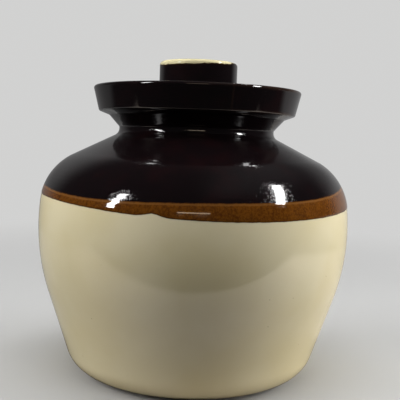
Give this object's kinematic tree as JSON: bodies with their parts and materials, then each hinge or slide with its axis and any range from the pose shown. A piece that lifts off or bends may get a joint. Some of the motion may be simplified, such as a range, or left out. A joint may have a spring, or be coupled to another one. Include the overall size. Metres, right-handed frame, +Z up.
{
  "type": "lidded stoneware bean pot",
  "caption": "Round-shouldered stoneware pot with a narrow neck, a flared collar and a lift-off lid that rests on a ledge inside the collar and has a drum-shaped knob.",
  "frame": {"origin": "centre of the foot, on the surface that the pot stands on", "axes": "+Z up along the axis that the pot is turned about; -Y towards the picture's camera; +X to the picture's right"},
  "size_m": [0.178, 0.178, 0.1781],
  "materials": {
    "pot_glaze": "glossy cream glaze below, dark brown glaze above, caramel where they overlap, bare foot",
    "lid_glaze": "glossy dark brown glaze",
    "knob_glaze": "glossy dark brown glaze, wiped off the top edge"
  },
  "bodies": {
    "pot": {"pot": "pot_glaze"},
    "lid": {"lid": "lid_glaze", "knob": "knob_glaze"}
  },
  "joints": [
    {"name": "lid_lift", "type": "slide", "parent": "pot", "child": "lid", "axis": [0, 0, 1], "range_m": [0, 0.06]}
  ]
}
